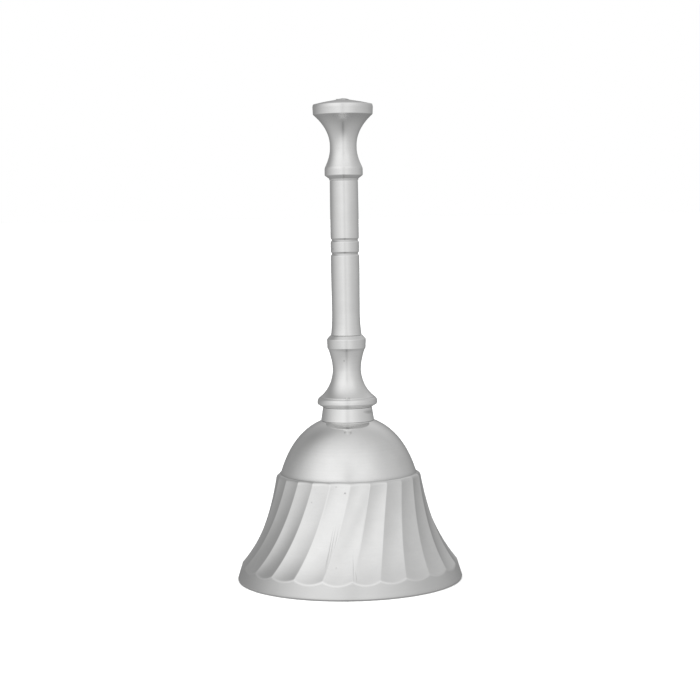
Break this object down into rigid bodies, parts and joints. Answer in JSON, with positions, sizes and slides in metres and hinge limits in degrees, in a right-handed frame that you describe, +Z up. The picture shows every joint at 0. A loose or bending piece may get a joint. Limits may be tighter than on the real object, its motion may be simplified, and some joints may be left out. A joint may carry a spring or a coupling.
{
  "type": "hand bell",
  "caption": "Small silver-coloured hand bell with a domed cup over a fluted flared skirt, a slender turned handle with a flat knob, and a clapper that swings on a swivel.",
  "frame": {"origin": "centre of the rim's resting plane, on the bell's axis", "axes": "+Z up the bell's axis to the knob, -Y is the front, +X is to the right seen from the front"},
  "size_m": [0.0568, 0.0568, 0.1207],
  "materials": {
    "cup": "cast, then satin polished, with small casting pits",
    "neck": "turned and polished",
    "handle_base": "turned and polished, with a faint casting seam",
    "grip": "turned and polished, with faint turning marks",
    "knob": "turned and polished, with a faint casting seam",
    "rod": "bright steel, riveted over at the top",
    "washer": "zinc plated",
    "nut": "zinc plated",
    "hanger": "plain wire, dulled",
    "shank": "plain wire, dulled",
    "ball": "cast ball, tumbled smooth"
  },
  "bodies": {
    "bell": {"bell_cup": "cup", "neck_ferrule": "neck", "handle_base": "handle_base", "grip_rod": "grip", "handle_knob": "knob", "tie_rod": "rod", "crown_washer": "washer", "crown_nut": "nut"},
    "hanger": {"clapper_hanger": "hanger"},
    "clapper": {"clapper_shank": "shank", "clapper_ball": "ball"}
  },
  "joints": [
    {"name": "hanger_swivel", "type": "hinge", "parent": "bell", "child": "hanger", "pos_m": [0, 0, 0.0335], "axis": [0, 0, 1], "continuous": true},
    {"name": "clapper_swing", "type": "hinge", "parent": "hanger", "child": "clapper", "pos_m": [0, 0, 0.02875], "axis": [0.5736, 0.8192, 0], "range_deg": [-39.5, 39.5]}
  ]
}
